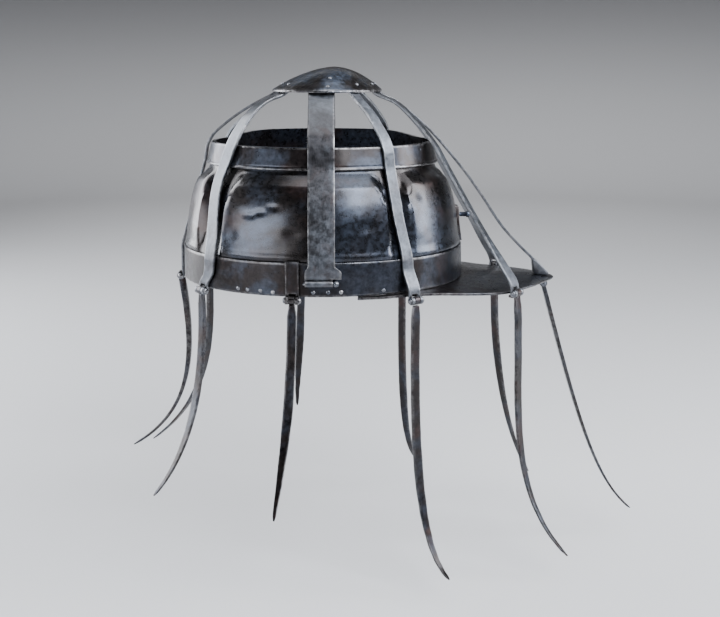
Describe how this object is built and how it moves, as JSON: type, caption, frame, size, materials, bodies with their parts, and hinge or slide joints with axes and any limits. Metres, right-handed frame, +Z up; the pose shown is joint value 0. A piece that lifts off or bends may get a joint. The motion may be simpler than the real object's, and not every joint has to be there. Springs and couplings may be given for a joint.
{
  "type": "cage helmet with hinged guard bars",
  "caption": "Iron skull ring with brow band, rim band and pointed peak, roofed by curved bars under a crown disc; slender curved guards hang from hinge pins round the rim.",
  "frame": {"origin": "centre of the brow band's lower edge, where the helmet sits on a head", "axes": "+X towards the tip of the peak, +Y towards the wearer's left side, +Z up"},
  "size_m": [0.4395, 0.2877, 0.3888],
  "materials": {
    "skull_plate": "polished dark plate with a hammered surface",
    "band_iron": "dark patinated iron with bare edges",
    "bar_iron": "brushed along its length, dark in the low spots",
    "leg_iron": "hand-forged, dull brown-grey",
    "bright_pin": "worn bright heads"
  },
  "bodies": {
    "helmet": {"skull": "skull_plate", "brow_band": "band_iron", "rim_band": "band_iron", "crown_disc": "band_iron", "peak": "band_iron", "front_strap": "band_iron", "front_stud": "bright_pin", "bar_rear": "bar_iron", "pin_rear": "bright_pin", "bar_rear_side_near": "bar_iron", "pin_rear_side_near": "bright_pin", "bar_rear_side_far": "bar_iron", "pin_rear_side_far": "bright_pin", "bar_front_side_near": "bar_iron", "pin_front_side_near": "bright_pin", "bar_front_side_far": "bar_iron", "pin_front_side_far": "bright_pin", "bar_peak_side_near": "bar_iron", "pin_peak_side_near": "bright_pin", "bar_peak_side_far": "bar_iron", "pin_peak_side_far": "bright_pin", "bar_peak_tip": "bar_iron", "pin_peak_tip": "bright_pin", "hinge_peak_tip": "band_iron", "bar_side_near": "bar_iron", "side_pin_side_near": "bright_pin", "hinge_side_near": "band_iron", "pin_side_near": "bright_pin", "bar_side_far": "bar_iron", "side_pin_side_far": "bright_pin", "hinge_side_far": "band_iron", "pin_side_far": "bright_pin"},
    "leg_rear": {"leg_rear": "leg_iron"},
    "leg_rear_side_near": {"leg_rear_side_near": "leg_iron"},
    "leg_rear_side_far": {"leg_rear_side_far": "leg_iron"},
    "leg_side_near": {"leg_side_near": "leg_iron"},
    "leg_side_far": {"leg_side_far": "leg_iron"},
    "leg_front_side_near": {"leg_front_side_near": "leg_iron"},
    "leg_front_side_far": {"leg_front_side_far": "leg_iron"},
    "leg_peak_side_near": {"leg_peak_side_near": "leg_iron"},
    "leg_peak_side_far": {"leg_peak_side_far": "leg_iron"},
    "leg_peak_tip": {"leg_peak_tip": "leg_iron"}
  },
  "joints": [
    {"name": "rear_hinge", "type": "hinge", "parent": "helmet", "child": "leg_rear", "pos_m": [-0.11965, 0, -0.002], "axis": [0, 1, 0], "range_deg": [0, 165]},
    {"name": "rear_side_near_hinge", "type": "hinge", "parent": "helmet", "child": "leg_rear_side_near", "pos_m": [-0.09514, -0.06317, -0.002], "axis": [-0.659, 0.7522, 0], "range_deg": [0, 165]},
    {"name": "rear_side_far_hinge", "type": "hinge", "parent": "helmet", "child": "leg_rear_side_far", "pos_m": [-0.10297, 0.05306, -0.002], "axis": [0.5623, 0.827, 0], "range_deg": [0, 165]},
    {"name": "side_near_hinge", "type": "hinge", "parent": "helmet", "child": "leg_side_near", "pos_m": [-0.02254, -0.10229, -0.002], "axis": [-0.9864, 0.1646, 0], "range_deg": [0, 160]},
    {"name": "side_far_hinge", "type": "hinge", "parent": "helmet", "child": "leg_side_far", "pos_m": [-0.02254, 0.10229, -0.002], "axis": [0.9864, 0.1646, 0], "range_deg": [0, 160]},
    {"name": "front_side_near_hinge", "type": "hinge", "parent": "helmet", "child": "leg_front_side_near", "pos_m": [0.072, -0.0908, -0.005], "axis": [-0.8387, -0.5446, 0], "range_deg": [0, 165]},
    {"name": "front_side_far_hinge", "type": "hinge", "parent": "helmet", "child": "leg_front_side_far", "pos_m": [0.072, 0.0908, -0.005], "axis": [0.8387, -0.5446, 0], "range_deg": [0, 165]},
    {"name": "peak_side_near_hinge", "type": "hinge", "parent": "helmet", "child": "leg_peak_side_near", "pos_m": [0.1544, -0.06, -0.006], "axis": [-0.6691, -0.7431, 0], "range_deg": [0, 165]},
    {"name": "peak_side_far_hinge", "type": "hinge", "parent": "helmet", "child": "leg_peak_side_far", "pos_m": [0.1544, 0.06, -0.006], "axis": [0.6691, -0.7431, 0], "range_deg": [0, 170]},
    {"name": "peak_tip_hinge", "type": "hinge", "parent": "helmet", "child": "leg_peak_tip", "pos_m": [0.186, 0, -0.01], "axis": [0, -1, 0], "range_deg": [0, 85]}
  ]
}
